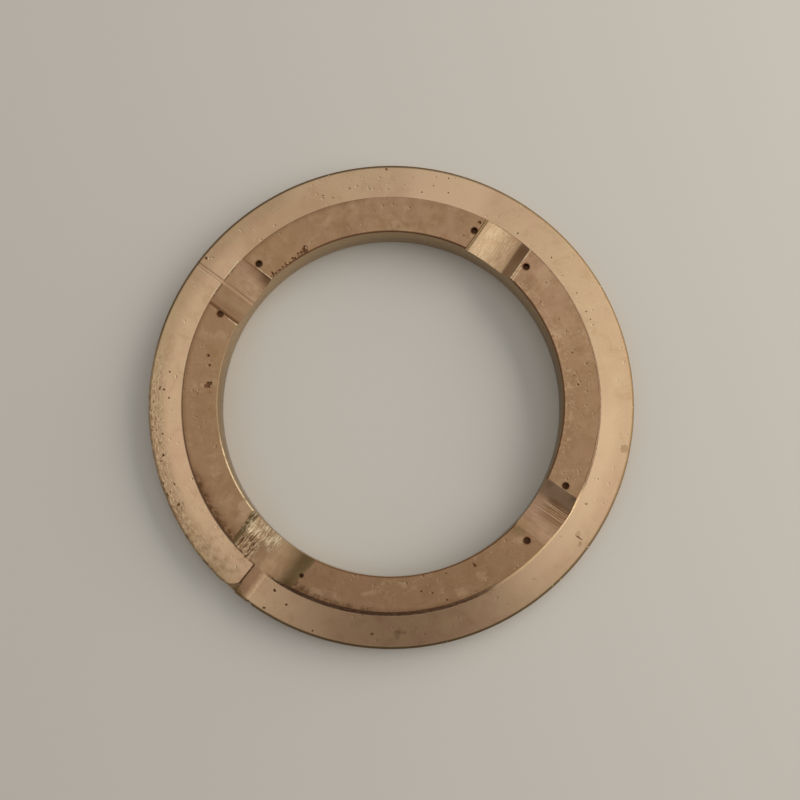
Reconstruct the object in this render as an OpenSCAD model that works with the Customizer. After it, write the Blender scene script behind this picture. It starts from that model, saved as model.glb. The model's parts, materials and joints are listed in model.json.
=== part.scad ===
// Bronze thrust washer: a turned ring with a raised thrust land round its bore,
// a lower, gently falling rim outside it, and four round-bottomed oil grooves
// milled across the land by hand, so that no two are quite alike.
// The ring lies on its back face, at z = 0, and its axis is z.

/* [Ring] */
// Outside diameter of the ring
ring_d = 128; // [122:0.5:140]
// Diameter of the plain bore
bore_d = 90; // [80:0.5:96]
// Overall thickness, from the back face to the land
thickness = 8; // [6.5:0.25:14]

/* [Thrust land] */
// Outside diameter of the land at its face
land_d = 108.4; // [105:0.2:114]
// Height of the land above the foot of its wall
land_rise = 2.3; // [1.5:0.1:3.5]
// Lean of the land's wall from the vertical, in degrees
land_lean = 18; // [2:1:30]
// Height of the chamfer on the land's outer edge
land_chamfer = 0.3; // [0.1:0.05:0.6]
// Fillet at the foot of the land's wall
foot_fillet_r = 0.6; // [0.2:0.1:0.9]

/* [Rim] */
// Fall of the rim's face towards its outside, in degrees
rim_fall = 5; // [1:0.5:9]
// Rounding of the rim's outer corner
rim_corner_r = 0.8; // [0.3:0.1:1.4]

/* [Broken edges] */
// Chamfer between the bore and the land
bore_chamfer = 0.4; // [0.1:0.1:1]
// Chamfer on both edges of the back face
back_chamfer = 0.5; // [0.1:0.1:1]

/* [Oil grooves] */
// Direction of each groove, counter-clockwise from x
groove_angles = [55, 143, 231, 325.5]; // [0:0.5:360]
// Width of each groove where it opens on the land
groove_widths = [13.2, 15, 18, 13.4]; // [8:0.2:22]
// Height of each groove's floor above the foot of the land's wall
groove_floors = [0.5, 0.1, 0.1, 0.4]; // [0.1:0.1:1]

/* [Rim notches] */
// Width of the notch filed through the rim beyond each groove, 0 for none
notch_widths = [0, 1.4, 4.6, 0]; // [0:0.1:8]
// Depth of each notch at its steep side
notch_depths = [0, 0.25, 0.9, 0]; // [0:0.05:1.5]

/* [Layout marks] */
// Diameter of the circle that the drilled marks stand on
mark_circle_d = 100.4; // [96:0.2:104]
// Diameter of the marks beside each groove
mark_ds = [1.7, 1.7, 1.1, 1.7]; // [0.5:0.1:3]
// Depth of the marks to the end of their straight wall
mark_depth = 1; // [0.3:0.1:2]
// Angle from each groove to its mark on the counter-clockwise side, 0 for none
marks_ahead = [9.1, 8.8, 11.8, 9.1]; // [0:0.1:20]
// Angle from each groove to its mark on the clockwise side, 0 for none
marks_behind = [9.8, 9.9, 0, 10.8]; // [0:0.1:20]

/* [Hidden] */
$fn = 192;
// Colour of the worn bronze
bronze = [0.66, 0.49, 0.33];
// Straight steps in a rounded corner of the section
arc_steps = 5;
// Drills end in a cone of this angle
drill_point = 118;
// Cutting shapes reach this far past what they cut
past = 1;
// A notch's floor climbs on to this share of the notch's width, clear of the rim
climb = 1.3;

ring_r = ring_d / 2;
bore_r = bore_d / 2;
land_r = land_d / 2;
grooves = [0 : len(groove_angles) - 1];

// The land's wall leans outwards from the land to the rim's foot
foot_r = land_r + land_rise * tan(land_lean);
foot_z = thickness - land_rise;
rim_w = ring_r - foot_r;
edge_z = foot_z - rim_w * tan(rim_fall);

// A unit step in the direction of an angle
function heading(a) = [cos(a), sin(a)];

// The centre of a disc of radius r that touches both sides of a corner, where
// the sides leave the corner at angles a and b
function disc_centre(corner, a, b, r) = corner + r / sin((b - a) / 2) * heading((a + b) / 2);

// Points along an arc, which turns into a band of narrow cones
function arc(centre, r, from, to) =
    [for (i = [0 : arc_steps]) centre + r * heading(from + (to - from) * i / arc_steps)];

rim_corner = disc_centre([ring_r, edge_z], 180 - rim_fall, 270, rim_corner_r);
foot_corner = disc_centre([foot_r, foot_z], -rim_fall, 90 + land_lean, foot_fillet_r);

// The ring's section, right of the axis
module ring_section() {
    polygon(concat(
        [
            [bore_r + back_chamfer, 0],
            [ring_r - back_chamfer, 0],
            [ring_r, back_chamfer]
        ],
        arc(rim_corner, rim_corner_r, 0, 90 - rim_fall),
        arc(foot_corner, foot_fillet_r, 270 - rim_fall, 180 + land_lean),
        [
            [land_r + land_chamfer * tan(land_lean), thickness - land_chamfer],
            [land_r - land_chamfer, thickness],
            [bore_r + bore_chamfer, thickness],
            [bore_r, thickness - bore_chamfer],
            [bore_r, back_chamfer]
        ]
    ));
}

// A groove's section is the foot of a disc, whose radius follows from the
// groove's width and depth. It runs along a radius, from inside the bore to past
// the rim
module groove_cut(angle, width, floor_up) {
    depth = land_rise - floor_up;
    floor_r = (width * width / 4 + depth * depth) / (2 * depth);
    start = sqrt(bore_r * bore_r - width * width / 4) - past;
    rotate(angle)
        translate([start, 0, thickness - depth])
        rotate([90, 0, 90])
        linear_extrude(ring_r + past - start)
        intersection() {
            translate([0, floor_r])
                circle(floor_r);
            translate([-width, -past])
                square([2 * width, depth + 2 * past]);
        }
}

// A notch is a wedge that comes down the groove's floor and out along the rim's
// face: steep on its clockwise side, with a floor that climbs out on the other
module notch_cut(angle, width, depth) {
    start = bore_r - 2 * past - foot_r;
    rotate(angle)
        translate([foot_r, 0, foot_z])
        rotate([0, rim_fall, 0])
        translate([start, -width / 2, 0])
        rotate([90, 0, 90])
        linear_extrude(rim_w + past - start)
        polygon([[0, -depth], climb * [width, depth] - [0, depth], [climb * width, past], [0, past]]);
}

// A mark is a shallow drilled hole in the land
module mark_cut(angle, d) {
    tip = d / 2 / tan(drill_point / 2);
    rotate(angle)
        translate([mark_circle_d / 2, 0, thickness - mark_depth]) {
            cylinder(d = d, h = mark_depth + past);
            translate([0, 0, -tip])
                cylinder(d1 = 0, d2 = d, h = tip);
        }
}

// The turned ring with its grooves milled
module grooved_ring() {
    difference() {
        rotate_extrude()
            ring_section();
        for (i = grooves)
            groove_cut(groove_angles[i], groove_widths[i], groove_floors[i]);
    }
}

module thrust_washer() {
    color(bronze)
    difference() {
        grooved_ring();
        for (i = grooves)
            if (notch_depths[i] > 0 && notch_widths[i] > 0)
                notch_cut(groove_angles[i], notch_widths[i], notch_depths[i]);
        for (i = grooves) {
            if (marks_ahead[i] > 0)
                mark_cut(groove_angles[i] + marks_ahead[i], mark_ds[i]);
            if (marks_behind[i] > 0)
                mark_cut(groove_angles[i] - marks_behind[i], mark_ds[i]);
        }
    }
}

thrust_washer();
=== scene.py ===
import json
import math
import random

import bpy
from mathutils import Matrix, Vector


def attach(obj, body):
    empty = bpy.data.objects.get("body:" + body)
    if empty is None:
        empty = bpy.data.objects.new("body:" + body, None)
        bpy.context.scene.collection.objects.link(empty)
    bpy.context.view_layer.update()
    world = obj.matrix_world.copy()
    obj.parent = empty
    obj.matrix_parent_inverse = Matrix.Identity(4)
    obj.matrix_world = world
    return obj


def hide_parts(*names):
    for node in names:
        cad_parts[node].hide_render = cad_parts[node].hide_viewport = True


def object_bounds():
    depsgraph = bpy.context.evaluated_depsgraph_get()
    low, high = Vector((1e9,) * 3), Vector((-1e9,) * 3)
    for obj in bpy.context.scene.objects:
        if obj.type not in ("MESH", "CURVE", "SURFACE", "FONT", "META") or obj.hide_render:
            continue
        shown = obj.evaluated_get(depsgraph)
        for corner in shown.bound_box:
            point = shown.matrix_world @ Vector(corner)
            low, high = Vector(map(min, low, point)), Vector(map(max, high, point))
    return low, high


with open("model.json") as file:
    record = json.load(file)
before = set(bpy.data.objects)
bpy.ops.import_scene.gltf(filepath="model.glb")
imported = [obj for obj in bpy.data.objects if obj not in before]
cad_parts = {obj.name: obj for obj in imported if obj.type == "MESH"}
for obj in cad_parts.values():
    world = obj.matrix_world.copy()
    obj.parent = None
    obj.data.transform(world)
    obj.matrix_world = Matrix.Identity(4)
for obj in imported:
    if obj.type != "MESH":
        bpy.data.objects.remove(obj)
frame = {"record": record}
cadLow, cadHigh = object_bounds()
bpy.ops.object.select_all(action="DESELECT")
print("frame loaded")

toMetres = 0.001    # the ring is modelled in millimetres and scaled at the end
mounts = {mount["name"]: mount for mount in frame["record"]["mounts"]}
ringRadius = cadHigh.x / toMetres
boreRadius = mounts["bore"]["dims"]["r_mm"]
top = cadHigh.z / toMetres


def turn(angle, radius, height=0.0):    # a place from its angle in degrees
    return (radius * math.cos(math.radians(angle)), radius * math.sin(math.radians(angle)), height)


# shader maths: a wire is a node's output, and sums of wires make Math nodes
def operator(operation):    # an operator and its reflected form
    return (lambda self, other: self.math(operation, self, other),
            lambda self, other: self.math(operation, other, self))


class Wire:
    __add__, __radd__ = operator("ADD")
    __sub__, __rsub__ = operator("SUBTRACT")
    __mul__, __rmul__ = operator("MULTIPLY")
    __truediv__, __rtruediv__ = operator("DIVIDE")

    def __init__(self, tree, socket=None):
        self.tree = tree
        self.socket = socket

    def node(self, kind, settings, inputs, output=0):
        made = self.tree.nodes.new(kind)
        for name, value in settings.items():
            setattr(made, name, value)
        for name, value in inputs.items():
            if isinstance(value, Wire):
                self.tree.links.new(value.socket, made.inputs[name])
            else:
                made.inputs[name].default_value = value
        return Wire(self.tree, made.outputs[output])

    def math(self, operation, first, second=0.0):
        return self.node("ShaderNodeMath", {"operation": operation}, {0: first, 1: second})

    def __abs__(self):
        return self.math("ABSOLUTE", self)

    def __neg__(self):
        return self.math("MULTIPLY", self, -1.0)


def rise(value, low, high):    # 0 below low, 1 above high, smooth between
    return value.node("ShaderNodeMapRange", {"interpolation_type": "SMOOTHSTEP"},
                      {"Value": value, "From Min": low, "From Max": high})


def fall(value, low, high):    # 1 below low, 0 above high
    return 1.0 - rise(value, low, high)


def slope(value, begins, full):    # 0 where it begins and 1 where it is full, up or down
    return rise(value, begins, full) if begins < full else fall(value, full, begins)


def band(value, middle, half, soft):    # 1 within half of the middle, 0 beyond half + soft
    return fall(abs(value - middle), half, half + soft)


def most(first, second):
    return first.math("MAXIMUM", first, second)


def blend(share, first, second):
    return share.node("ShaderNodeMix", {"data_type": "RGBA"}, {0: share, 6: first, 7: second}, 2)


def noise(place, scale, detail=2.0, rough=0.5, twist=0.0):
    return place.node("ShaderNodeTexNoise", {}, {"Vector": place, "Scale": scale, "Detail": detail,
                                                 "Roughness": rough, "Distortion": twist})


def shifted(place, x, y):
    return place.node("ShaderNodeVectorMath", {"operation": "ADD"}, {0: place, 1: (x, y, 0.0)})


def vector(x, y, z):
    start = next(part for part in (x, y, z) if isinstance(part, Wire))
    return start.node("ShaderNodeCombineXYZ", {}, {0: x, 1: y, 2: z})


def split(place):
    return [place.node("ShaderNodeSeparateXYZ", {}, {0: place}, axis) for axis in range(3)]


def paint(red, green, blue):    # a colour as a picture shows it, 0 to 255
    def linear(c):
        c = c / 255
        return c / 12.92 if c <= 0.04045 else ((c + 0.055) / 1.055) ** 2.4
    return (linear(red), linear(green), linear(blue), 1.0)


def toOutput(start, surface, kind="ShaderNodeOutputMaterial"):
    output = start.tree.nodes.new(kind)
    start.tree.links.new(surface.socket, output.inputs["Surface"])


# the ring's section, in millimetres and degrees
section = {
    "segments": 360,
    "landRadius": 54.2,    # outer edge of the thrust land
    "landRise": 2.3,    # land above the foot of its wall
    "wallLean": 18.0,    # from the vertical
    "rimFall": 5.0,    # outwards
    "landEdge": 0.2,    # roundings
    "footFillet": 0.22,
    "rimCorner": 0.75,
    "boreEdge": 0.4,
    "backEdge": 0.5,
    "arcSteps": 5,
    "hold": 0.2,    # a loop this far from each rounding keeps the flats flat
    "sameLoop": 0.001,    # the last loop is merged with the first
    "samePoint": 0.0002,    # points this close are merged after the cuts
    "holeSides": 6,    # and open loops of up to so many edges are filled
    "smoothAngle": 24.0,
}
footRadius = section["landRadius"] + section["landRise"] * math.tan(math.radians(section["wallLean"]))
footHeight = top - section["landRise"]
rimSlope = math.tan(math.radians(section["rimFall"]))


def rimHeight(radius):
    return footHeight - (radius - footRadius) * rimSlope


def roundedSection():
    corners = [    # radius, height, rounding
        (boreRadius, top, section["boreEdge"]),
        (section["landRadius"], top, section["landEdge"]),
        (footRadius, footHeight, section["footFillet"]),
        (ringRadius, rimHeight(ringRadius), section["rimCorner"]),
        (ringRadius, 0.0, section["backEdge"]),
        (boreRadius, 0.0, section["backEdge"]),
    ]
    points = []
    for i, (r, z, rounding) in enumerate(corners):
        before, after = corners[i - 1], corners[(i + 1) % len(corners)]
        toBefore = (before[0] - r, before[1] - z)
        toAfter = (after[0] - r, after[1] - z)
        a = [c / math.hypot(*toBefore) for c in toBefore]
        b = [c / math.hypot(*toAfter) for c in toAfter]
        half = math.acos(a[0] * b[0] + a[1] * b[1]) / 2
        reach = rounding / math.tan(half)
        middle = [a[k] + b[k] for k in (0, 1)]
        scale = rounding / math.sin(half) / math.hypot(*middle)
        centre = (r + middle[0] * scale, z + middle[1] * scale)
        first = (r + a[0] * reach, z + a[1] * reach)
        last = (r + b[0] * reach, z + b[1] * reach)
        startAngle = math.atan2(first[1] - centre[1], first[0] - centre[0])
        sweep = math.atan2(last[1] - centre[1], last[0] - centre[0]) - startAngle
        sweep = (sweep + math.pi) % (2 * math.pi) - math.pi
        hold = section["hold"]
        points.append((first[0] + a[0] * hold, first[1] + a[1] * hold))
        for step in range(section["arcSteps"] + 1):
            angle = startAngle + sweep * step / section["arcSteps"]
            points.append((centre[0] + rounding * math.cos(angle), centre[1] + rounding * math.sin(angle)))
        points.append((last[0] + b[0] * hold, last[1] + b[1] * hold))
    return points


def makeRing():
    points = roundedSection()
    bpy.ops.mesh.primitive_circle_add(vertices=section["segments"], radius=points[0][0])
    ring = bpy.context.object
    ring.name = "washer"
    bpy.ops.object.mode_set(mode="EDIT")
    bpy.ops.mesh.select_all(action="SELECT")
    bpy.ops.transform.translate(value=(0, 0, points[0][1]))
    for (r0, z0), (r1, z1) in zip(points, points[1:] + points[:1]):
        bpy.ops.mesh.extrude_region_move(TRANSFORM_OT_translate={"value": (0, 0, z1 - z0)})
        bpy.ops.transform.resize(value=(r1 / r0, r1 / r0, 1), center_override=(0, 0, 0))
    bpy.ops.mesh.select_all(action="SELECT")
    bpy.ops.mesh.remove_doubles(threshold=section["sameLoop"])
    bpy.ops.mesh.normals_make_consistent(inside=False)
    bpy.ops.object.mode_set(mode="OBJECT")
    return ring


def joined(parts):
    bpy.ops.object.select_all(action="DESELECT")
    for part in parts:
        part.select_set(True)
    bpy.context.view_layer.objects.active = parts[0]
    if len(parts) > 1:
        bpy.ops.object.join()
    return parts[0]


def cut(body, cutters, finish, overlapping=False):
    cutter = joined(cutters)
    cutter.data.materials.clear()
    cutter.data.materials.append(finish)
    bpy.ops.object.select_all(action="DESELECT")
    bpy.context.view_layer.objects.active = body
    body.select_set(True)
    difference = body.modifiers.new("cut", "BOOLEAN")
    difference.operation = "DIFFERENCE"
    difference.solver = "EXACT"
    difference.material_mode = "TRANSFER"    # the cut face takes the cutter's finish
    difference.use_self = overlapping
    difference.object = cutter
    bpy.ops.object.modifier_apply(modifier=difference.name)
    bpy.data.objects.remove(cutter)


# the bronze, its wear and the shade painted into it, as a picture shows the colours
bronzeLook = {
    "land": (176, 143, 111),
    "landDark": (152, 120, 88),
    "landPale": (198, 167, 135),
    "landPink": (175, 139, 112),
    "landGold": (177, 141, 103),
    "rim": (213, 181, 145),
    "rimPink": (212, 176, 143),
    "rimPale": (226, 200, 158),
    "rimRose": (230, 197, 161),
    "rimDeep": (192, 158, 120),
    "olive": (128, 106, 70),
    "corner": (102, 82, 52),
    "edge": (172, 142, 106),
    "boreWall": (160, 136, 104),
    "boreWallLit": (193, 168, 135),
    # stain and dirt also serve as painted shade and painted shadow: in the crease at the foot of the land,
    # along the land's edge and on the grooves' walls and floors
    "stain": (116, 80, 52),
    "bright": (240, 222, 186),
    "dirt": (84, 52, 24),
    "pit": (124, 88, 56),
}
shades = {name: paint(*value) for name, value in bronzeLook.items()}


def newFinish(name):
    material = bpy.data.materials.new(name)
    material.use_nodes = True
    material.node_tree.nodes.clear()
    return material, Wire(material.node_tree)


def closeFinish(start, colour, roughness, bumps, metallic=1.0):
    normal = None
    for height, distance in bumps:
        sockets = {"Height": height, "Distance": distance, "Strength": 1.0}
        if normal:
            sockets["Normal"] = normal
        normal = start.node("ShaderNodeBump", {}, sockets)
    toOutput(start, start.node("ShaderNodeBsdfPrincipled", {}, {
        "Base Color": colour, "Metallic": metallic, "Roughness": roughness, "Normal": normal}))


def ringPlace(start):
    metres = start.node("ShaderNodeTexCoord", {}, {}, "Object")
    place = start.node("ShaderNodeVectorMath", {"operation": "SCALE"}, {0: metres, "Scale": 1 / toMetres})
    x, y, z = split(place)
    squared = x * x + y * y
    return place, x, y, z, squared.math("SQRT", squared)


def across(x, y, angle):    # how far a place lies beside a radius, counter-clockwise
    a = math.radians(angle)
    return y * math.cos(a) - x * math.sin(a)


def along(x, y, angle):    # and how far along it
    a = math.radians(angle)
    return x * math.cos(a) + y * math.sin(a)


def sector(x, y, middle, half, soft):    # 1 in a sector round an angle, by the cosine
    inside = along(x, y, middle)
    return rise(inside, math.cos(math.radians(half + soft)), math.cos(math.radians(half)))


def groovePlace(i, x, y):    # along a groove and beside its middle
    angle = grooves["angles"][i]
    return along(x, y, angle), across(x, y, angle)


def zone(u, v, vLow, vHigh, uLow, uHigh, soft):    # a soft-edged patch of a groove
    sides = rise(v, vLow - soft, vLow + soft) * fall(v, vHigh - soft, vHigh + soft)
    return sides * rise(u, uLow - soft, uLow + soft) * fall(u, uHigh - soft, uHigh + soft)


def notchGap(i, x, y):    # where a groove's floor runs out into its notch
    return zone(*groovePlace(i, x, y), *notches["gaps"][i], *notches["gapReach"], notches["gapSoft"])


def gapTo(x, y, angle, radius):    # squared distance from a place on the ring
    px, py, _ = turn(angle, radius)
    return (x - px) * (x - px) + (y - py) * (y - py)


def layered(colour, layers, masks):    # a layer is a shade, its share and the masks it shows through
    for shade, share, first, *others in layers:
        cover = masks[first]
        for name in others:
            cover = cover * masks[name]
        colour = blend(cover * share, colour, shades[shade])
    return colour


# the turned faces: masks for parts of the ring, and the layers of colour that show through them
ringLook = {
    "sectors": {    # middle, half and softness in degrees
        "east": (10, 35, 35), "darkLand": (284, 38, 18), "goldLand": (165, 40, 25),
        "dullLand": (352, 16, 16), "scuffedLand": (20, 30, 15), "pinkRim": (212, 20, 14),
        "oliveRim": (172, 50, 14), "nickedRim": (194, 14, 20), "roseRim": (75, 6, 7),
        "paleRim": (331, 22, 12), "smudgedRim": (217, 9, 7), "deepRim": (119, 8, 10),
        "rubbedCorner": (198, 26, 12), "pockedRim": (96, 13, 8), "pockedEast": (5, 24, 10),
        "pockedWest": (172, 9, 6), "pockedSouth": (285, 25, 10), "sunnyStep": (318, 9, 12),
        "southStep": (266, 26, 14), "eastStep": (18, 42, 16), "northWestStep": (126, 13, 9),
        "westStep": (207, 16, 9), "dulledSouth": (254, 34, 14), "dulledWest": (152, 48, 16),
        "westCrumbs": (214, 10, 7), "southCrumbs": (250, 10, 8), "litBoreNorth": (95, 45, 40),
        "polishedLip": (211, 13, 9),
    },
    "radii": {    # where each begins to show, and where it shows in full
        "onLand": (54.5, 54.2), "innerRim": (62.0, 57.4), "outerRim": (57.4, 62.0), "nicked": (58.8, 61.6),
        "corner": (63.0, 63.5), "side": (63.8, 63.95), "pastLedge": (57.0, 58.0), "insideSide": (63.9, 63.7),
        "landEdge": (54.02, 54.12), "outerLand": (52.8, 54.2), "crumbedLand": (50.5, 53.8),
        "bore": (45.25, 45.1), "lipRing": (45.45, 45.25),
    },
    "heights": {    # likewise
        "upper": (3.0, 4.0), "cornerTop": (3.2, 4.0), "cornerFoot": (4.0, 3.2), "sideTop": (4.2, 3.6),
        "ledgeFoot": (1.0, 1.6), "belowLand": (8.05, 7.7), "belowLip": (7.7, 7.4), "lipTop": (7.5, 7.7),
        "landTop": (7.6, 7.8),
    },
    "rings": {    # radius, half width and softness
        "scuffed": (46.3, 0.9, 0.9), "pocked": (59.6, 2.4, 1.2), "sunlit": (54.7, 0.25, 0.2),
        "spilt": (53.9, 0.5, 0.9),
    },
    "patterns": {    # scale, detail, roughness and twist
        "clouds": (0.09, 2.0, 0.5), "mottle": (0.3, 3.0, 0.58), "fleck": (1.3, 3.0, 0.6),
        "grain": (2.4, 2.0, 0.5), "dust": (0.2, 4.0, 0.65, 0.4), "smudge": (0.5, 3.0, 0.6),
        "crumb": (0.8, 3.0, 0.6), "pock": (0.95, 2.0, 0.5, 0.5),
    },
    "streaks": (1.0, 3.0, 0.6), "streakScales": (4.0, 3.0),    # round the axis and outwards
    "rubs": (1.0, 3.0, 0.7), "rubScales": (2.2, 45.0, 12.0),    # outwards, by y and by x
    "specks": {    # a pattern, where it begins to show, and where it shows in full
        "mottled": ("mottle", 0.36, 0.68), "polish": ("mottle", 0.36, 0.56),
        "cloudy": ("clouds", 0.44, 0.62), "cloudyRim": ("clouds", 0.42, 0.62),
        "paleFleck": ("fleck", 0.56, 0.7), "darkFleck": ("fleck", 0.4, 0.3), "scuffs": ("fleck", 0.5, 0.62),
        "paleRimFleck": ("fleck", 0.6, 0.75), "darkRimFleck": ("fleck", 0.36, 0.26),
        "brokenLine": ("fleck", 0.36, 0.5), "brokenEdge": ("fleck", 0.36, 0.56),
        "dusty": ("dust", 0.52, 0.7), "dustyRim": ("dust", 0.5, 0.7), "bareRim": ("dust", 0.48, 0.34),
        "pockDust": ("dust", 0.46, 0.62), "streaky": ("streaks", 0.5, 0.8),
        "paleRubs": ("rubs", 0.53, 0.63), "darkRubs": ("rubs", 0.45, 0.36),
        "smudges": ("smudge", 0.46, 0.68), "crumbs": ("crumb", 0.35, 0.6),
    },
    "lipTurn": (-0.75, -0.55),    # x over radius where the bore's lip turns to stain
    "shares": {    # a mask, the share outside it, and what it adds inside
        "fleckShare": ("east", 0.1, 0.14), "smudgeShare": ("outerRim", 0.2, 0.16),
        "cornerShare": ("rubbedCorner", 0.9, -0.5), "crumbShare": ("crumbs", 0.25, 0.4),
        "stepShare": ("crumbs", 0.85, 0.15), "pockShare": ("pockDust", 0.008, 0.04),
        "pockHighlight": ("land", 0.6, -0.38), "lineShare": ("brokenLine", 0.5, 0.5),
        "innerShare": ("brokenLine", 0.4, 0.6), "edgeShare": ("brokenEdge", 0.3, 0.7),
    },
    "landLayers": [
        ("landDark", 0.75, "mottled"), ("landPink", 0.5, "cloudy"), ("landDark", 0.55, "darkLand"),
        ("landGold", 0.5, "goldLand"), ("landPale", 1.0, "paleFleck", "fleckShare"),
        ("stain", 0.2, "darkFleck"), ("landPale", 0.45, "dusty"), ("landDark", 0.4, "dullLand"),
        ("landPale", 0.45, "scuffed", "scuffedLand", "scuffs"),
    ],
    "rimLayers": [
        ("rimPink", 1.0, "cloudyRim"), ("rimPink", 0.6, "pinkRim", "innerRim"), ("rimPale", 0.2, "streaky"),
        ("rimPale", 0.3, "dustyRim"), ("rimDeep", 0.4, "bareRim"), ("rimPale", 0.14, "paleRimFleck"),
        ("stain", 0.14, "darkRimFleck"), ("olive", 0.34, "oliveRim", "outerRim"),
        ("rimPale", 0.65, "nickedRim", "nicked", "paleRubs"),
        ("stain", 0.65, "nickedRim", "nicked", "darkRubs"), ("rimRose", 0.8, "roseRim"),
        ("rimRose", 0.7, "paleRim", "innerRim"), ("stain", 1.0, "smudgedRim", "smudges", "smudgeShare"),
    ],
    "edgeLayers": [    # the rim's corner, darkened as oxide and as painted shade, its side, and painted shade on the floor under its worn corners
        ("rimDeep", 0.5, "deepRim", "innerRim"), ("corner", 1.0, "corner", "cornerTop", "cornerShare"),
        ("edge", 1.0, "side", "sideTop"),
        ("corner", 0.65, "cornerFoot", "ledgeFoot", "pastLedge", "insideSide"),
    ],
    "stepLayers": [    # round the foot and the edge of the land: a painted highlight where the step is sunlit, painted shade along the south and west of the land's edge, and crumbs and spilt dirt
        ("bright", 0.7, "sunlit", "belowLand", "sunnyStep"), ("stain", 0.34, "dulled", "outerLand", "land"),
        ("stain", 1.0, "westCrumbs", "land", "crumbedLand", "crumbShare"),
        ("dirt", 0.5, "spilt", "crumbed", "crumbs", "land"),
    ],
    "lipLayers": [
        ("stain", 0.75, "lip", "eastLip"), ("boreWall", 0.9, "lip", "westLip"),
        ("bright", 0.6, "lip", "polishedLip", "polish"),
    ],
    "pockShift": (0.32, 0.16),    # a pock's painted highlight, on its side towards the light, lies this far from its dark core
    "pockCore": (0.695, 0.735),
    "pockSide": (0.68, 0.73),
    "pockDark": 0.6,
    "footEnds": (54.85, 55.1),    # radii at which the dirt and painted shade along the foot of the land give out
    "footReach": {"southStep": 0.35, "eastStep": 0.15},    # how much further out it comes
    "footDirtAndShade": 0.38,
    "moreDirtAndShade": {"southStep": 0.62, "northWestStep": 0.55, "eastStep": 0.5, "westStep": 0.42},
    "dirtDull": 0.9,    # how far the foot's dirt and painted shade take the metal's shine
    "roughness": {"rim": 0.27, "land": 0.16, "corner": 0.28, "mottle": 0.1, "lip": 0.25, "foot": 0.35},
    "bumps": {"streaks": 0.006, "grain": 0.012, "mottle": 0.03, "rubs": 0.12},
}


def ringPatterns(place, ux, uy, r):
    patterns = {name: noise(place, *values) for name, values in ringLook["patterns"].items()}
    around, outwards = ringLook["streakScales"]
    patterns["streaks"] = noise(vector(ux * around, uy * around, r * outwards), *ringLook["streaks"])
    outwards, byY, byX = ringLook["rubScales"]
    patterns["rubs"] = noise(vector(r * outwards, uy * byY, ux * byX), *ringLook["rubs"])
    return patterns


def ringMasks(patterns, ux, uy, z, r):
    masks = {name: sector(ux, uy, *values) for name, values in ringLook["sectors"].items()}
    for group, value, shape in (("radii", r, slope), ("heights", z, slope), ("rings", r, band)):
        masks.update({name: shape(value, *limits) for name, limits in ringLook[group].items()})
    for name, (pattern, begins, full) in ringLook["specks"].items():
        masks[name] = slope(patterns[pattern], begins, full)
    masks["eastLip"] = rise(ux, *ringLook["lipTurn"])
    masks["westLip"] = fall(ux, *ringLook["lipTurn"])
    masks["lip"] = masks["lipRing"] * masks["lipTop"]
    masks["land"] = masks["onLand"] * masks["upper"]
    masks["dulled"] = most(masks["dulledSouth"], masks["dulledWest"])
    masks["crumbed"] = most(masks["westCrumbs"], masks["southCrumbs"])
    for name, (varying, outside, more) in ringLook["shares"].items():
        masks[name] = outside + masks[varying] * more
    return masks


def notchTints(colour, x, y, masks):
    for i, edge, half, last, shade, share in notches["lines"]:
        u, v = groovePlace(i, x, y)
        line = band(v, edge, half, notches["lineSoft"]) * rise(u, *notches["lineStart"])
        line = line * fall(u, last, last + notches["lineFade"])
        colour = blend(line * masks["lineShare"] * share, colour, shades[shade])
    for i, low, high, share in notches["innerEdges"]:    # rubbed, and painted bright as a highlight, where a groove ends at the rim
        line = zone(*groovePlace(i, x, y), low, high, *notches["innerRadii"], notches["lineSoft"])
        colour = blend(line * masks["innerShare"] * share, colour, shades["bright"])
    sharp, start = notches["shadeSharp"], notches["shadeStart"]
    for i, low, high, first, soft, shade, share in notches["shaded"]:
        u, v = groovePlace(i, x, y)
        patch = rise(v, low - sharp, low + sharp) * fall(v, high - soft, high + soft)
        patch = patch * rise(u, first - start, first + start)
        colour = blend(patch * share, colour, shades[shade])
    return colour


def spotTints(colour, x, y, mottle):
    near, far = wear["spotEdge"]
    for angle, radius, size, shade, share in wear["spots"]:
        gap = gapTo(x, y, angle, radius) + (mottle - 0.5) * (size * wear["spotWander"])
        colour = blend(fall(gap, size * size * near, size * size * far) * share, colour, shades[shade])
    near, far = marks["dirtEdge"]
    for angle, size in marks["places"]:    # dirt round the drilled marks
        around = fall(gapTo(x, y, angle, marks["circle"]), size * size * near, size * size * far)
        colour = blend(around * marks["dirtShare"], colour, shades["stain"])
    return colour


def pockTints(colour, place, patterns, masks):
    onRim = masks["pockedRim"] * masks["pocked"]
    onLand = most(masks["pockedEast"], most(masks["pockedWest"], masks["pockedSouth"])) * masks["land"]
    more = most(onRim, onLand) * masks["pockShare"]
    # painted pocks: a dark core, and a painted highlight on the side that faces the light
    aside = noise(shifted(place, *ringLook["pockShift"]), *ringLook["patterns"]["pock"])
    core = rise(patterns["pock"] + more, *ringLook["pockCore"])
    side = rise(aside + more, *ringLook["pockSide"]) * (1.0 - core)
    colour = blend(side * masks["pockHighlight"], colour, shades["bright"])
    return blend(core * ringLook["pockDark"], colour, shades["stain"])


def footMask(x, y, r, masks):    # the foot of the land's wall, but for the notches
    opened = most(*[notchGap(i, x, y) for i in notches["gaps"]])
    for name, reach in ringLook["footReach"].items():
        r = r - masks[name] * reach
    return masks["landEdge"] * fall(r, *ringLook["footEnds"]) * masks["upper"] * (1.0 - opened)


# dirt and painted shade in the crease at the foot of the land's wall, darker to the south, east, north-west
# and west
def footDirtAndShade(masks):
    share = ringLook["footDirtAndShade"]
    for name, more in ringLook["moreDirtAndShade"].items():
        share = share + masks[name] * more
    return share * (1.0 - masks["sunnyStep"]) * masks["stepShare"]


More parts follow.
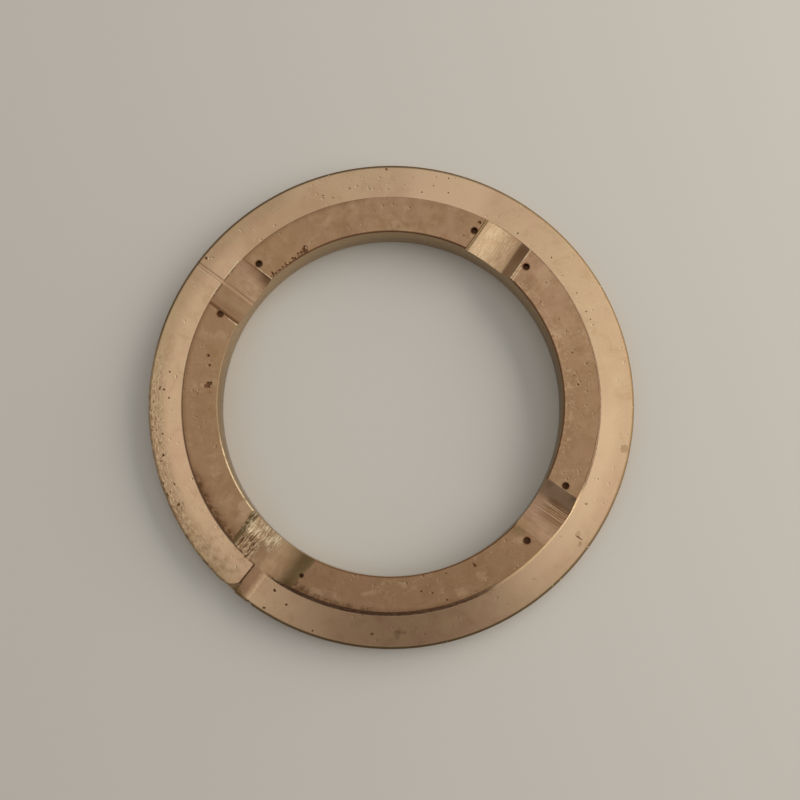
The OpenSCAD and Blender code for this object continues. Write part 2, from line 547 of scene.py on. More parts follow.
def edgeTints(colour, x, y, masks):    # groove edges rubbed bright, with a painted highlight where they catch the light
    fade = grooves["edgeFade"]
    for i, edge, first, last, share in grooves["edgeLines"]:
        u, v = groovePlace(i, x, y)
        line = band(v, edge, *grooves["edgeLine"]) * rise(u, first - fade, first) * fall(u, last, last + fade)
        line = line * masks["landTop"] * masks["land"]
        colour = blend(line * masks["edgeShare"] * share, colour, shades["bright"])
    return colour


def turnedFinish():
    material, start = newFinish("turnedBronze")
    place, x, y, z, r = ringPlace(start)
    ux, uy = x / r, y / r
    patterns = ringPatterns(place, ux, uy, r)
    masks = ringMasks(patterns, ux, uy, z, r)
    foot = footMask(x, y, r, masks)
    # the foot of the land's wall is darkened with dirt and painted shade
    dirt = foot * footDirtAndShade(masks)

    landColour = layered(shades["land"], ringLook["landLayers"], masks)
    rimColour = layered(shades["rim"], ringLook["rimLayers"], masks)
    rimColour = notchTints(rimColour, x, y, masks)
    rimColour = layered(rimColour, ringLook["edgeLayers"], masks)
    colour = blend(masks["land"], rimColour, landColour)
    colour = spotTints(colour, x, y, patterns["mottle"])
    colour = pockTints(colour, place, patterns, masks)
    colour = blend(dirt, colour, shades["dirt"])
    colour = layered(colour, ringLook["stepLayers"], masks)
    # the bore's wall is painted lighter round its north side, as painted light
    boreColour = blend(masks["litBoreNorth"], shades["boreWall"], shades["boreWallLit"])
    colour = blend(masks["bore"] * masks["belowLip"], colour, boreColour)
    colour = layered(colour, ringLook["lipLayers"], masks)
    colour = edgeTints(colour, x, y, masks)

    rough = ringLook["roughness"]
    roughness = rough["rim"] + masks["land"] * rough["land"] + masks["corner"] * rough["corner"]
    roughness = roughness + masks["land"] * patterns["mottle"] * rough["mottle"]
    roughness = roughness + masks["lip"] * rough["lip"] + foot * rough["foot"]
    heights = {
        "streaks": patterns["streaks"],
        "grain": patterns["grain"] * masks["land"],
        "mottle": patterns["mottle"] * masks["land"],
        "rubs": patterns["rubs"] * masks["nickedRim"] * masks["nicked"],
    }
    bumps = [(heights[name], depth * toMetres) for name, depth in ringLook["bumps"].items()]
    closeFinish(start, colour, roughness, bumps, 1.0 - dirt * ringLook["dirtDull"])
    return material


# the grooves' floors: patterns are a scale, a detail and a roughness
millLook = {
    "streaks": (1.0, 3.0, 0.6), "streakScales": (2.4, 0.18, 0.3),    # long streaks: across, along and up
    "paleStreak": (0.52, 0.75), "darkStreak": (0.45, 0.3), "streakShare": 0.12,
    "clouds": (0.25, 3.0, 0.55), "cloudy": (0.38, 0.68),
    "fleck": (1.6, 2.0, 0.55),
    "blotch": (0.55, 3.0, 0.6),
    "lines": (1.0, 3.0, 0.65), "lineScale": 3.4, "paleLine": (0.46, 0.57), "darkLine": (0.46, 0.37),
    "endRing": (54.85, 0.12, 0.3), "endFleck": (0.36, 0.55),    # dirt at the rim
    "roughness": (0.42, 0.1),    # and what streaks add
    "bump": 0.02,
}


def milledFinish(i):
    material, start = newFinish("milledBronze" + str(i))
    place, x, y, z, r = ringPlace(start)
    u, v = groovePlace(i, x, y)
    acrossScale, alongScale, upScale = millLook["streakScales"]
    streaks = noise(vector(v * acrossScale, u * alongScale, z * upScale), *millLook["streaks"])
    clouds, fleck, blotch = [noise(place, *millLook[name]) for name in ("clouds", "fleck", "blotch")]
    colour = blend(rise(clouds, *millLook["cloudy"]), paint(*grooves["main"][i]), paint(*grooves["other"][i]))
    for name, shade in (("paleStreak", "bright"), ("darkStreak", "stain")):
        colour = blend(slope(streaks, *millLook[name]) * millLook["streakShare"], colour, shades[shade])
    bumps = [(pattern, millLook["bump"] * toMetres) for pattern in (streaks, fleck)]
    for *limits, shade, share in grooves["patches"][i]:
        colour = blend(zone(u, v, *limits) * share, colour, shades[shade])
    lines = noise(vector(v * millLook["lineScale"], u * grooves["crossing"][i], 0.0), *millLook["lines"])
    blotched = grooves["blotched"][i]
    broken = lines * (1.0 - blotched) + blotch * blotched
    for *limits, pale, dark in grooves["scored"][i]:
        patch = zone(u, v, *limits)
        colour = blend(patch * slope(broken, *millLook["paleLine"]) * pale, colour, shades["bright"])
        colour = blend(patch * slope(lines, *millLook["darkLine"]) * dark, colour, shades["dirt"])
        bumps.append((patch * lines, grooves["scoreDepths"][i] * toMetres))
    ends = band(r, *millLook["endRing"]) * grooves["endDirt"][i]
    if i in notches["gaps"]:
        ends = ends * (1.0 - notchGap(i, x, y))
    colour = blend(ends * rise(fleck, *millLook["endFleck"]), colour, shades["dirt"])
    base, more = millLook["roughness"]
    closeFinish(start, colour, base + streaks * more, bumps)
    return material


pitLook = {"scale": 2.0, "roughness": 0.6, "metallic": 0.6, "bump": 0.05}


def pitFinish(name, shade):
    material, start = newFinish(name)
    place = ringPlace(start)[0]
    mottle = noise(place, pitLook["scale"])
    colour = blend(mottle, shades[shade], shades["stain"])
    bumps = [(mottle, pitLook["bump"] * toMetres)]
    closeFinish(start, colour, pitLook["roughness"], bumps, pitLook["metallic"])
    return material


# oil grooves: each profile runs from its counter-clockwise edge across to its clockwise edge,
# as distance beside the groove's middle and depth below the land
grooves = {
    "angles": [55.0, 143.0, 231.0, 325.5],
    "profiles": [
        [(7.2, 0), (7.0, -0.9), (6.4, -1.0), (6.4, -1.0), (5.0, -1.2), (2.5, -1.52), (0, -1.72), (-2.0, -1.8),
         (-3.4, -1.74), (-4.4, -1.5), (-6.8, 0)],
        [(7.45, 0), (6.9, -0.95), (5.6, -1.85), (3.6, -2.36), (1.8, -2.44), (0.95, -2.4), (0.0, -2.36),
         (-1.6, -2.38), (-4.0, -2.0), (-5.8, -1.35), (-6.9, -0.65), (-7.35, 0)],
        [(10.0, 0), (9.0, -0.35), (7.5, -1.1), (6.0, -1.8), (4.0, -2.35), (2.0, -2.62), (0, -2.75),
         (-2.0, -2.75), (-4.0, -2.5), (-6.0, -1.9), (-7.5, -1.2), (-8.7, -0.5), (-9.3, 0)],
        [(6.8, 0), (3.7, -1.56), (2.6, -1.8), (1.0, -1.7), (-1.5, -1.35), (-4.0, -0.85), (-6.0, -0.35),
         (-7.5, 0)],
    ],
    "arcSteps": 4,
    "innerReach": 6.0,    # cutters start this far inside the bore
    "outerEnds": [66.0, 55.0, 55.05, 66.0],
    "flares": [1.0, 1.0, 1.12, 1.03],    # inner width of a cutter over its outer width
    "mouth": (0.3, 1.5),    # wider at each side by this, so high above the land
    "main": [(205, 175, 141), (197, 160, 128), (192, 160, 124), (151, 122, 98)],
    "other": [(196, 162, 127), (185, 148, 114), (174, 140, 106), (139, 111, 87)],
    "patches": [    # across from, to; along from, to; softness; shade; share
        # NE groove: a faint painted highlight on its lit counter-clockwise side, painted shade on its
        # counter-clockwise wall, and painted shadow over its clockwise half
        [(1.5, 6.2, 40, 60, 1.2, "rimPale", 0.1), (6.5, 8.0, 40, 60, 0.15, "corner", 0.8),
         (-3.9, 0.8, 40, 60, 1.2, "stain", 0.24), (-8.0, -4.0, 40, 60, 0.5, "stain", 0.6),
         (-8.0, -3.9, 50, 60, 2.5, "dirt", 0.4)],
        # NW groove: painted shade on and near its counter-clockwise wall, and painted shade near the bore on
        # its clockwise side
        [(6.5, 8.0, 40, 60, 0.2, "dirt", 0.6), (1.1, 7.0, 40, 60, 0.3, "olive", 0.35),
         (4.8, 8.0, 40, 60, 1.5, "stain", 0.4), (-9.0, -5.0, 38, 47.4, 1.8, "dirt", 0.6),
         (0.25, 0.9, 40, 60, 0.15, "rimPale", 0.14), (-0.3, 0.05, 40, 60, 0.1, "stain", 0.15)],
        # SW groove: painted shadow over its counter-clockwise side, darkest near the bore, painted shade on
        # its clockwise wall, and dirt where it meets the rim
        [(6.0, 12.0, 40, 60, 2.6, "corner", 0.75), (2.0, 12.0, 40, 47.5, 2.2, "corner", 0.35),
         (-12.0, -8.3, 40, 60, 0.5, "corner", 0.95), (7.2, 12.0, 52.2, 60, 1.2, "dirt", 0.5)],
        [(3.2, 8.0, 40, 60, 0.6, "rimPink", 0.34), (-9.0, -5.0, 40, 60, 1.6, "stain", 0.12),
         (-1.8, 3.1, 48.5, 60, 1.6, "stain", 0.95), (-9.5, -5.5, 40, 48, 1.6, "olive", 0.5),
         (5.2, 9.0, 52.6, 60, 1.0, "dirt", 0.4), (5.2, 7.0, 44.8, 46.8, 0.9, "dirt", 0.3)],
    ],
    "scored": [    # across from, to; along from, to; softness; pale share; dark share
        [(-3.0, 6.0, 40, 56, 1.0, 0.18, 0.12)],
        [(-5.0, -0.2, 40, 52, 0.8, 0.15, 0.1)],
        [(-9.5, 0.8, 40, 49.6, 1.6, 0.85, 0.3), (-8.2, -3.2, 48.6, 56, 0.9, 0.5, 0.85)],
        [(-1.6, 3.0, 47.8, 58, 1.5, 0.24, 0.4)],
    ],
    "crossing": [0.3, 0.3, 0.3, 0.05],    # how soon the scored lines of each groove break off
    "blotched": [0.4, 0.4, 0.4, 0.0],    # how far blotches break them up
    "scoreDepths": [0.1, 0.1, 0.2, 0.05],
    "endDirt": [0.3, 0.6, 0.6, 0.5],    # dirt where each groove meets the rim
    "edgeLines": [    # groove, place beside its middle, along from, to; share
        (0, -6.95, 44.0, 54.0, 0.6), (0, -7.6, 44.0, 48.5, 0.45), (1, 7.6, 44.0, 47.0, 0.8),
        (1, -7.5, 44.0, 49.0, 0.55), (3, 6.95, 47.0, 52.0, 0.2)],
    "edgeLine": (0.06, 0.16),    # half width and softness
    "edgeFade": 0.4,
}


def softened(profile):    # a smooth line through the profile's points, which keeps its ends
    line = []
    for i in range(len(profile) - 1):
        p0 = profile[max(i - 1, 0)]
        p1, p2 = profile[i], profile[i + 1]
        p3 = profile[min(i + 2, len(profile) - 1)]
        if p1 == p2:    # a point given twice is a sharp corner
            continue
        for step in range(grooves["arcSteps"]):
            t = step / grooves["arcSteps"]
            line.append(tuple(
                0.5 * (2 * p1[k] + (p2[k] - p0[k]) * t + (2 * p0[k] - 5 * p1[k] + 4 * p2[k] - p3[k]) * t * t
                       + (3 * p1[k] - p0[k] - 3 * p2[k] + p3[k]) * t ** 3) for k in (0, 1)))
    return line + [profile[-1]]


def prism(points, inner, outer, flare=1.0):    # a profile across y and z, drawn out along x
    bpy.ops.mesh.primitive_plane_add(size=1.0)
    bpy.ops.object.mode_set(mode="EDIT")
    bpy.ops.mesh.select_all(action="SELECT")
    bpy.ops.mesh.merge(type="CENTER")
    bpy.ops.transform.translate(value=(outer, *points[0]))
    for p, q in zip(points, points[1:]):
        bpy.ops.mesh.extrude_vertices_move(TRANSFORM_OT_translate={"value": (0, q[0] - p[0], q[1] - p[1])})
    bpy.ops.mesh.select_all(action="SELECT")
    bpy.ops.mesh.edge_face_add()
    bpy.ops.mesh.extrude_region_move(TRANSFORM_OT_translate={"value": (inner - outer, 0, 0)})
    bpy.ops.transform.resize(value=(1, flare, 1), center_override=(0, 0, 0))
    bpy.ops.mesh.select_all(action="SELECT")
    bpy.ops.mesh.normals_make_consistent(inside=False)
    bpy.ops.object.mode_set(mode="OBJECT")
    return bpy.context.object


def stand(piece, angle, height=0.0):
    piece.rotation_euler = (0, 0, math.radians(angle))
    piece.location = (0, 0, height)


def cutGrooves():
    wider, above = grooves["mouth"]
    for i, angle in enumerate(grooves["angles"]):
        line = softened(grooves["profiles"][i])
        mouth = [(line[-1][0] - wider, above), (line[0][0] + wider, above)]
        inner = boreRadius - grooves["innerReach"]
        cutter = prism(line + mouth, inner, grooves["outerEnds"][i], grooves["flares"][i])
        stand(cutter, angle, top)
        cut(washer, [cutter], milled[i])


# notches filed over the rim beyond two of the grooves: profile over the rim's face at its foot
notches = {
    "grooves": [1, 2],
    "profiles": [
        [(1.25, 0.3), (1.05, -0.06), (0.95, -0.17), (0.2, -0.14), (0.0, 0.0), (-0.1, 0.3)],
        [(4.2, 0.5), (3.4, 0.1), (2.8, -0.08), (2.0, -0.26), (1.0, -0.4), (-0.2, -0.47), (-1.2, -0.5),
         (-1.45, 0.5)],
    ],
    "above": 3.0,    # cutters reach this high
    "outwards": 12.0,    # and this far past the foot of the land
    "inner": [54.3, 54.0],
    "tilts": [5.0, 5.5],    # degrees, where the rim itself falls by 5
    "scratchDepth": 2.36,    # the narrow one runs on along its groove's floor
    "scratchReach": 3.0,    # from this far inside the bore
    "gaps": {1: (0.0, 1.05), 2: (-1.25, 2.7)},    # where each groove's floor runs out into its notch
    "gapReach": (50, 70),
    "gapSoft": 0.2,
    "lines": [    # groove, place beside its middle, half width, end, shade, share
        # the narrow notch's bright line is a painted highlight on the edge that faces the light, and its dark
        # line painted shadow; the wide notch's wall is darkened along its foot
        (1, 1.1, 0.09, 64.0, "bright", 0.5), (1, 0.0, 0.08, 64.0, "dirt", 0.42),
        (2, -1.35, 0.14, 60.4, "dirt", 0.85)],
    "lineSoft": 0.12,
    "lineStart": (54.6, 55.2),
    "lineFade": 0.8,
    "innerEdges": [(1, 1.2, 5.6, 0.9), (1, -6.2, -0.2, 0.9), (2, 2.8, 6.5, 0.5)],    # from, to and share
    "innerRadii": (55.02, 55.2),
    "shaded": [    # groove; across from, to; along from; softness of the far side; shade; share
        (2, -1.35, 2.3, 52.0, 1.2, "stain", 0.68), (2, -1.35, 1.4, 60.5, 1.4, "corner", 0.25),
        (1, 0.0, 1.05, 52.0, 0.15, "stain", 0.12)],
    "shadeSharp": 0.15,    # softness of the near side
    "shadeStart": 1.6,
    "wornCorners": [    # in plan, as distance beside the wide one's groove and along it
        [(-0.9, 60.6), (-1.45, 60.6), (-1.75, 61.4), (-2.4, 62.2), (-3.4, 62.95), (-4.9, 63.55),
         (-6.2, 63.75), (-6.2, 66.0), (-0.9, 66.0)],
        [(3.1, 63.0), (3.7, 63.35), (4.5, 63.65), (5.6, 63.83), (5.6, 66.0), (3.1, 66.0)],
    ],
    "cornerFloor": 2.4,
    "cornerAbove": 1.0,    # the cutter ends this far above the land
}


def cutNotches():
    narrow, wide = notches["grooves"]
    opened = [profile + [(profile[-1][0], notches["above"]), (profile[0][0], notches["above"])]
              for profile in notches["profiles"]]
    for i, profile, inner, tilt in zip(notches["grooves"], opened, notches["inner"], notches["tilts"]):
        cutter = prism(profile, inner - footRadius, notches["outwards"])
        cutter.location = (footRadius, 0, footHeight)
        cutter.rotation_euler = (0, math.radians(tilt), 0)
        bpy.ops.object.transform_apply(location=True, rotation=True, scale=True)
        stand(cutter, grooves["angles"][i])
        cut(washer, [cutter], turned)
    scratch = prism(opened[0], boreRadius - notches["scratchReach"], footRadius)
    stand(scratch, grooves["angles"][narrow], top - notches["scratchDepth"])
    cut(washer, [scratch], milled[narrow])
    for outline in notches["wornCorners"]:
        worn = prism(outline, -notches["cornerFloor"], -top - notches["cornerAbove"])
        worn.rotation_euler = (0, math.radians(90), math.radians(grooves["angles"][wide]))    # upright
        cut(washer, [worn], turned)


# drilled layout marks beside the grooves
marks = {
    "circle": 50.2,
    "places": [    # angle and size
        (64.1, 1.7), (45.2, 1.7), (152.0, 1.7), (133.1, 1.7), (242.8, 1.1), (334.6, 1.7), (314.7, 1.7)],
    "depth": 1.1,
    "above": 0.4,    # the drill ends this far above the land
    "bottom": 0.45,    # radius at the bottom over the size
    "flare": 1.25,    # width at the worn mouth over the width at the bottom
    "sides": 36,
    "dirtEdge": (0.3, 0.62),    # dirt round a mark fades between these, over the size squared
    "dirtShare": 0.6,
}


def cutMarks():
    length = marks["depth"] + marks["above"]
    drills = []
    for angle, size in marks["places"]:
        bottom = size * marks["bottom"]
        middle = top - marks["depth"] / 2 + marks["above"] / 2
        bpy.ops.mesh.primitive_cone_add(
            vertices=marks["sides"], radius1=bottom, radius2=bottom * marks["flare"], depth=length,
            location=turn(angle, marks["circle"], middle))
        drills.append(bpy.context.object)
    cut(washer, drills, dirty)


# wear: a pit is a ragged ball, and its length is a share of its width. A skew is a turn in degrees and the
# least and most that chance adds, and dark is the share of pits that hold dirt
wear = {
    "seed": 7,
    "shapes": 999,    # how many ragged shapes there are
    "flat": 0.6,    # height of a pit's ball over its width
    "ragged": 0.2,    # how far the ball's points are moved, as a share of its width
    "ballSteps": 2,
    "even": 0.6,    # how even the moves are, and how far they go along the normal
    "outwards": 0.3,
    "long": (0.8, 1.5),
    "skew": (0, 0, 180),
    "pits": [    # angle, radius and size, on the land and then on the rim
        (5.7, 48.9, 0.5), (8.4, 48.2, 0.4), (15.6, 49.0, 0.5), (34.1, 47.2, 0.4), (37.8, 51.4, 0.4),
        (66.4, 47.9, 0.5), (63.8, 52.8, 1.0), (73.1, 45.1, 0.8), (119.4, 46.2, 1.1), (118.6, 46.9, 0.9),
        (120.4, 45.9, 0.8), (165.1, 49.0, 0.8), (168.1, 48.1, 0.7), (174.2, 47.6, 1.3), (174.6, 48.3, 0.9),
        (173.5, 47.0, 0.8), (279.3, 49.4, 0.6), (282.5, 50.4, 0.5), (286.1, 53.0, 0.6), (288.2, 46.4, 0.5),
        (297.3, 47.2, 0.9),
        (23.2, 57.1, 0.4), (25.5, 57.0, 0.4), (31.0, 57.1, 0.4), (42.5, 57.5, 0.4), (53.5, 56.4, 0.5),
        (75.7, 62.2, 0.4), (74.8, 58.3, 0.45), (79.0, 59.3, 0.4), (81.7, 57.0, 0.45), (91.0, 62.8, 0.7),
        (100.6, 58.6, 0.4), (105.4, 57.1, 0.4), (107.8, 58.5, 0.4), (141.2, 62.6, 0.8), (171.3, 58.8, 0.5),
        (175.9, 59.8, 0.6), (178.0, 58.3, 0.5), (192.4, 61.2, 0.8), (205.1, 61.5, 0.8), (238.1, 62.6, 0.7),
        (238.1, 57.3, 0.9), (242.6, 59.0, 0.7), (251.0, 62.6, 0.6), (265.4, 60.2, 0.7)],
    "rimNicks": {
        "count": 56, "angles": (174.0, 212.0), "outermost": 63.4, "reach": 4.2, "crowding": 1.6,
        "sizes": (0.22, 0.55), "lift": 0.12, "long": (1.0, 2.6), "skew": (90, -35, 35), "dark": 0.25},
    "edgeChips": {"count": 24, "angles": (196.0, 229.0), "radius": 64.0, "outwards": 0.15, "rimAt": 63.8,
                  "sizes": (0.7, 1.7), "long": (1.0, 2.0), "skew": (90, -20, 20), "flat": 0.9},
    "boreChips": {"count": 42, "angles": (118.0, 133.5), "innermost": 45.2, "reach": 1.4, "crowding": 2,
                  "sizes": (0.3, 0.8), "long": (0.8, 1.6), "skew": (0, 0, 180), "dark": 0.5},
    "gouges": {    # rough grinding
        "count": 80, "groove": 2, "across": (-8.0, -2.8), "along": (46.0, 54.0), "deepAlong": 49.5,
        "deepAcross": -4.0, "deepSizes": (0.25, 0.5), "sizes": (0.18, 0.3), "lift": 0.1, "long": (4.0, 9.0),
        "skew": (0, -12, 12), "flat": 1.0, "dark": 0.6},
    "scratches": {"count": 6, "groove": 3, "across": (-1.4, 3.0), "along": (50.0, 53.0), "size": 0.22,
                  "lift": 0.06, "long": (18.0, 28.0), "skew": (0, -2, 2), "flat": 1.0},
    "cornerChips": {    # angle and size, beside the wide notch
        "places": [(226.0, 1.2), (227.4, 1.4), (235.6, 1.2), (237.4, 0.9)],
        "lift": 0.2, "long": 1.3, "skew": 90, "flat": 1.0},
    "rimScratch": (324.7, 60.3, 0.34, 10.0, 3.0, 5),    # angle, radius, size, length, skew and shape
    "spots": [    # angle, radius, size, shade, share
        (271.8, 60.1, 2.6, "stain", 0.4), (272.6, 58.9, 2.6, "stain", 0.34),
        (273.5, 59.6, 1.8, "stain", 0.3), (325.3, 59.6, 1.7, "stain", 0.25),
        (323.6, 61.6, 1.3, "stain", 0.3), (349.2, 62.4, 2.2, "stain", 0.35),
        (332.9, 57.4, 1.0, "dirt", 0.5), (147.8, 51.0, 0.9, "dirt", 0.6),
        (315.6, 46.8, 4.4, "olive", 0.55), (241.9, 52.6, 2.6, "dirt", 0.55),
        (246.2, 53.2, 1.9, "stain", 0.5), (216.0, 46.2, 4.2, "landPale", 0.75),
        (217.4, 48.6, 3.0, "landPale", 0.5), (244.4, 52.7, 2.5, "dirt", 0.5),
        # the corner-coloured spot at 230.3 degrees is painted shade at the outer end of the wide notch
        (230.3, 63.2, 3.4, "corner", 0.6), (174.4, 49.2, 1.0, "landPale", 0.6),
        (165.6, 48.4, 0.9, "landPale", 0.5), (176.5, 47.2, 1.8, "stain", 0.4)],
    "spotEdge": (0.06, 0.3),    # a spot fades between these, over its size squared
    "spotWander": 3.0,    # how far its edge wanders
}


def pitBall(angle, radius, height, size, long, skew, shape, flat=None):
    bpy.ops.mesh.primitive_ico_sphere_add(subdivisions=wear["ballSteps"], radius=size / 2)
    ball = bpy.context.object
    bpy.ops.object.mode_set(mode="EDIT")
    bpy.ops.mesh.select_all(action="SELECT")
    bpy.ops.transform.vertex_random(offset=size * wear["ragged"], uniform=wear["even"],
                                    normal=wear["outwards"], seed=shape)
    bpy.ops.object.mode_set(mode="OBJECT")
    ball.scale = (long, 1.0, flat or wear["flat"])
    ball.rotation_euler = (0, 0, math.radians(angle + skew))
    ball.location = turn(angle, radius, height)
    return ball


def drawnBall(draw, angle, radius, height, size, kind):    # a ball of one kind of wear, turned by chance
    long = draw.uniform(*kind["long"])
    middle, least, greatest = kind["skew"]
    skew = middle + draw.uniform(least, greatest)
    return pitBall(angle, radius, height, size, long, skew, draw.randrange(wear["shapes"]), kind.get("flat"))


def grooveDepth(i, v):
    line = grooves["profiles"][i]
    for (v0, d0), (v1, d1) in zip(line, line[1:]):
        if v1 <= v <= v0:
            return d0 + (d1 - d0) * (v0 - v) / (v0 - v1)
    return 0.0


def inGroove(i, u, v):    # angle, radius and height of a place on a groove's floor
    angle = grooves["angles"][i] + math.degrees(math.atan2(v, u))
    return angle, math.hypot(u, v), top + grooveDepth(i, v)


def cutPits():
    draw = random.Random(wear["seed"])
    dark, light, ground = [], [], []
    for angle, radius, size in wear["pits"]:
        height = top if radius < section["landRadius"] else rimHeight(radius)
        dark.append(drawnBall(draw, angle, radius, height, size, wear))
    kind = wear["rimNicks"]
    for _ in range(kind["count"]):
        angle = draw.uniform(*kind["angles"])
        radius = kind["outermost"] - kind["reach"] * draw.random() ** kind["crowding"]
        size = draw.uniform(*kind["sizes"])
        ball = drawnBall(draw, angle, radius, rimHeight(radius) + size * kind["lift"], size, kind)
        (dark if draw.random() < kind["dark"] else light).append(ball)
    kind = wear["edgeChips"]
    for _ in range(kind["count"]):
        angle = draw.uniform(*kind["angles"])
        size = draw.uniform(*kind["sizes"])
        radius = kind["radius"] + size * kind["outwards"]
        light.append(drawnBall(draw, angle, radius, rimHeight(kind["rimAt"]), size, kind))
    kind = wear["boreChips"]
    for _ in range(kind["count"]):
        angle = draw.uniform(*kind["angles"])
        size = draw.uniform(*kind["sizes"])
        radius = kind["innermost"] + kind["reach"] * draw.random() ** kind["crowding"]
        ball = drawnBall(draw, angle, radius, top, size, kind)
        (dark if draw.random() < kind["dark"] else light).append(ball)
    kind = wear["gouges"]
    for _ in range(kind["count"]):
        v = draw.uniform(*kind["across"])
        u = draw.uniform(*kind["along"])
        deep = u > kind["deepAlong"] and v < kind["deepAcross"]
        size = draw.uniform(*kind["deepSizes" if deep else "sizes"])
        angle, radius, floor = inGroove(kind["groove"], u, v)
        ball = drawnBall(draw, angle, radius, floor + size * kind["lift"], size, kind)
        (dark if deep and draw.random() < kind["dark"] else ground).append(ball)
    kind = wear["scratches"]
    for _ in range(kind["count"]):
        v = draw.uniform(*kind["across"])
        u = draw.uniform(*kind["along"])
        angle, radius, floor = inGroove(kind["groove"], u, v)
        light.append(drawnBall(draw, angle, radius, floor + kind["lift"], kind["size"], kind))
    kind = wear["cornerChips"]
    for angle, size in kind["places"]:
        light.append(pitBall(angle, ringRadius + kind["lift"], rimHeight(ringRadius) + kind["lift"], size,
                             kind["long"], kind["skew"], draw.randrange(wear["shapes"]), kind["flat"]))
    angle, radius, *shape = wear["rimScratch"]
    dark.append(pitBall(angle, radius, rimHeight(radius), *shape))
    cut(washer, dark, pitted, overlapping=True)
    cut(washer, light, turned, overlapping=True)
    cut(washer, ground, milled[wear["gouges"]["groove"]], overlapping=True)


def cleanMesh(piece):    # takes out the slivers that the cuts leave
    bpy.ops.object.select_all(action="DESELECT")
    bpy.context.view_layer.objects.active = piece
    piece.select_set(True)
    bpy.ops.object.mode_set(mode="EDIT")
    bpy.ops.mesh.select_all(action="SELECT")
    bpy.ops.mesh.remove_doubles(threshold=section["samePoint"])
    bpy.ops.mesh.dissolve_degenerate(threshold=section["samePoint"])
    bpy.ops.mesh.delete_loose()
    bpy.ops.mesh.select_all(action="SELECT")
    bpy.ops.mesh.fill_holes(sides=section["holeSides"])
    bpy.ops.object.mode_set(mode="OBJECT")
    piece.data.validate()


def smoothMesh(piece):
    bpy.ops.object.shade_smooth_by_angle(angle=math.radians(section["smoothAngle"]))
    weighted = piece.modifiers.new("weighted", "WEIGHTED_NORMAL")
    weighted.keep_sharp = True
    weighted.weight = 100    # larger faces count for more
    bpy.ops.object.modifier_apply(modifier=weighted.name)


turned = turnedFinish()
milled = [milledFinish(i) for i in range(len(grooves["angles"]))]
pitted = pitFinish("pittedBronze", "pit")
dirty = pitFinish("dirtyBronze", "dirt")
print("finishes made")

washer = makeRing()
washer.data.materials.append(turned)
print("ring turned:", len(washer.data.polygons), "faces")
cutGrooves()
print("grooves cut")
cutNotches()
print("notches cut")
cutMarks()
print("marks drilled")
cutPits()
print("pits cut:", len(washer.data.polygons), "faces")
cleanMesh(washer)
smoothMesh(washer)
washer.scale = (toMetres, toMetres, toMetres)
bpy.ops.object.transform_apply(location=True, rotation=True, scale=True)
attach(washer, "root")
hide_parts("thrust_washer")
print("washer finished:", len(washer.data.polygons), "faces")

# floor, key light and camera, in metres and degrees
stage = {
    "floor": (194, 190, 182),
    "floorSize": 4.0,
    "floorRoughness": 0.8,
    "keyPower": 9.8,
    "keyHeading": 20.0,    # from x
    "keyClimb": 24.0,
    "keyDistance": 0.9,
    "keySize": (1.35, 0.55),    # width and height
    "keyColour": (1.0, 0.97, 0.92),
    "cameraPlace": (0.00501, -0.04105, 0.2405),
    "cameraTurn": (1.62, 0.61, 0.0),
    "lens": 40.5,    # millimetres, like the sensor's width
    "sensor": 36.0,
    "shift": 0.17,
    "nearest": 0.01,    # seen by the camera
}

# the room's soft light, as brightness by direction
room = {
    "light": (1.0, 0.98, 0.95, 1.0),
    "walls": 0.28, "sideWalls": 0.3, "eastWall": (0.2, 0.9), "westWall": (0.2, 0.8),
    "ceiling": 0.70, "sideCeiling": 0.42, "ceilingEdge": (0.58, 0.93),
    "dimming": 0.62, "dimEdge": (0.25, 0.6), "dimWidth": (0.3, 0.7),    # the near side is dim
    "shade": (0.2, 0.145, 0.12, 1.0),    # a dark patch overhead
    "shadeHeading": -89.0, "shadeClimb": 78.0, "shadeEdge": (18.5, 8.5),
}


def makeFloor():
    bpy.ops.mesh.primitive_plane_add(size=stage["floorSize"])
    floor = bpy.context.object
    floor.name = "floor"
    material, start = newFinish("floorPaper")
    toOutput(start, start.node("ShaderNodeBsdfPrincipled", {}, {
        "Base Color": paint(*stage["floor"]), "Roughness": stage["floorRoughness"]}))
    floor.data.materials.append(material)


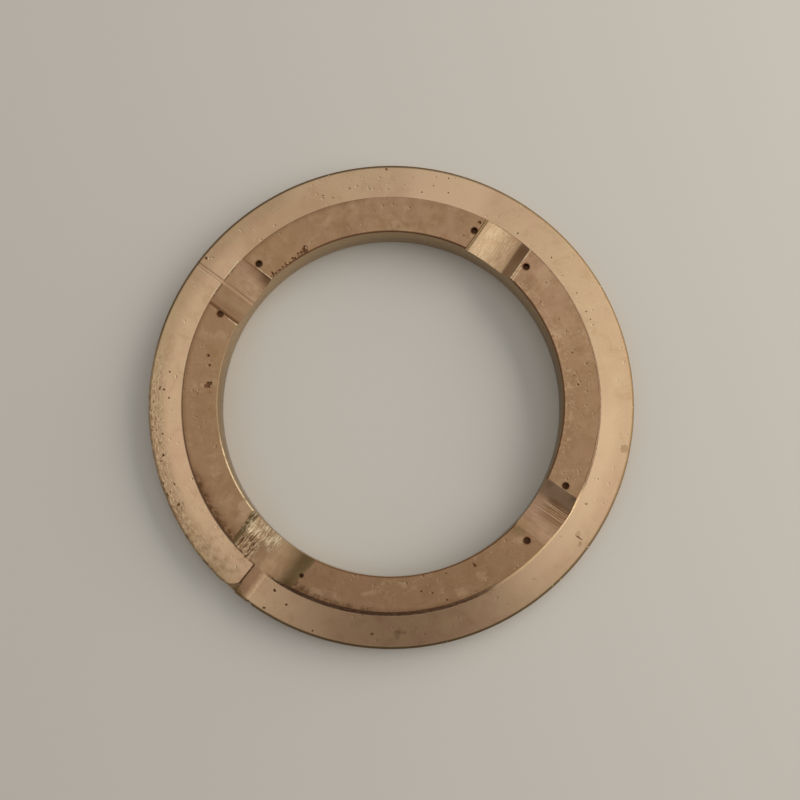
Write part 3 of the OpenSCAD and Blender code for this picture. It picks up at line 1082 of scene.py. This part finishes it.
def makeWorld():
    world = bpy.data.worlds.new("room")
    bpy.context.scene.world = world
    world.use_nodes = True
    world.node_tree.nodes.clear()
    start = Wire(world.node_tree)
    dx, dy, dz = split(start.node("ShaderNodeTexCoord", {}, {}, "Generated"))
    walls = room["walls"] + rise(dx, *room["eastWall"]) * room["sideWalls"]
    walls = walls + rise(-dx, *room["westWall"]) * room["sideWalls"]
    ceiling = room["ceiling"] + most(dx, 0.0) * room["sideCeiling"] + most(-dx, 0.0) * room["sideCeiling"]
    up = rise(dz, *room["ceilingEdge"])
    dimSide = rise(-dy, *room["dimEdge"]) * fall(abs(dx), *room["dimWidth"])
    level = (walls * (1.0 - up) + ceiling * up) * (1.0 - dimSide * room["dimming"])
    climb = math.radians(room["shadeClimb"])
    cx, cy, cz = turn(room["shadeHeading"], math.cos(climb), math.sin(climb))
    facing = dx * cx + dy * cy + dz * cz
    shade = rise(facing, *[math.cos(math.radians(angle)) for angle in room["shadeEdge"]])
    colour = start.node("ShaderNodeVectorMath", {"operation": "SCALE"},
                        {0: blend(shade, room["light"], room["shade"]), "Scale": level})
    light = start.node("ShaderNodeBackground", {}, {"Color": colour, "Strength": 1.0})
    toOutput(start, light, "ShaderNodeOutputWorld")


def makeKey():
    climb = math.radians(stage["keyClimb"])
    place = turn(stage["keyHeading"], stage["keyDistance"] * math.cos(climb),
                 stage["keyDistance"] * math.sin(climb))
    bpy.ops.object.light_add(type="AREA", location=place,
                             rotation=(0, math.pi / 2 - climb, math.radians(stage["keyHeading"])))
    key = bpy.context.object
    key.name = "key"
    key.data.shape = "RECTANGLE"
    key.data.size_y, key.data.size = stage["keySize"]
    key.data.energy = stage["keyPower"]
    key.data.color = stage["keyColour"]


def makeCamera():
    bpy.ops.object.camera_add(location=stage["cameraPlace"],
                              rotation=[math.radians(angle) for angle in stage["cameraTurn"]])
    camera = bpy.context.object
    camera.data.lens = stage["lens"]
    camera.data.sensor_width = stage["sensor"]
    camera.data.shift_y = stage["shift"]
    camera.data.clip_start = stage["nearest"]
    bpy.context.scene.camera = camera


makeFloor()
makeWorld()
makeKey()
makeCamera()
bpy.context.scene.view_settings.view_transform = "Standard"
print("stage set")
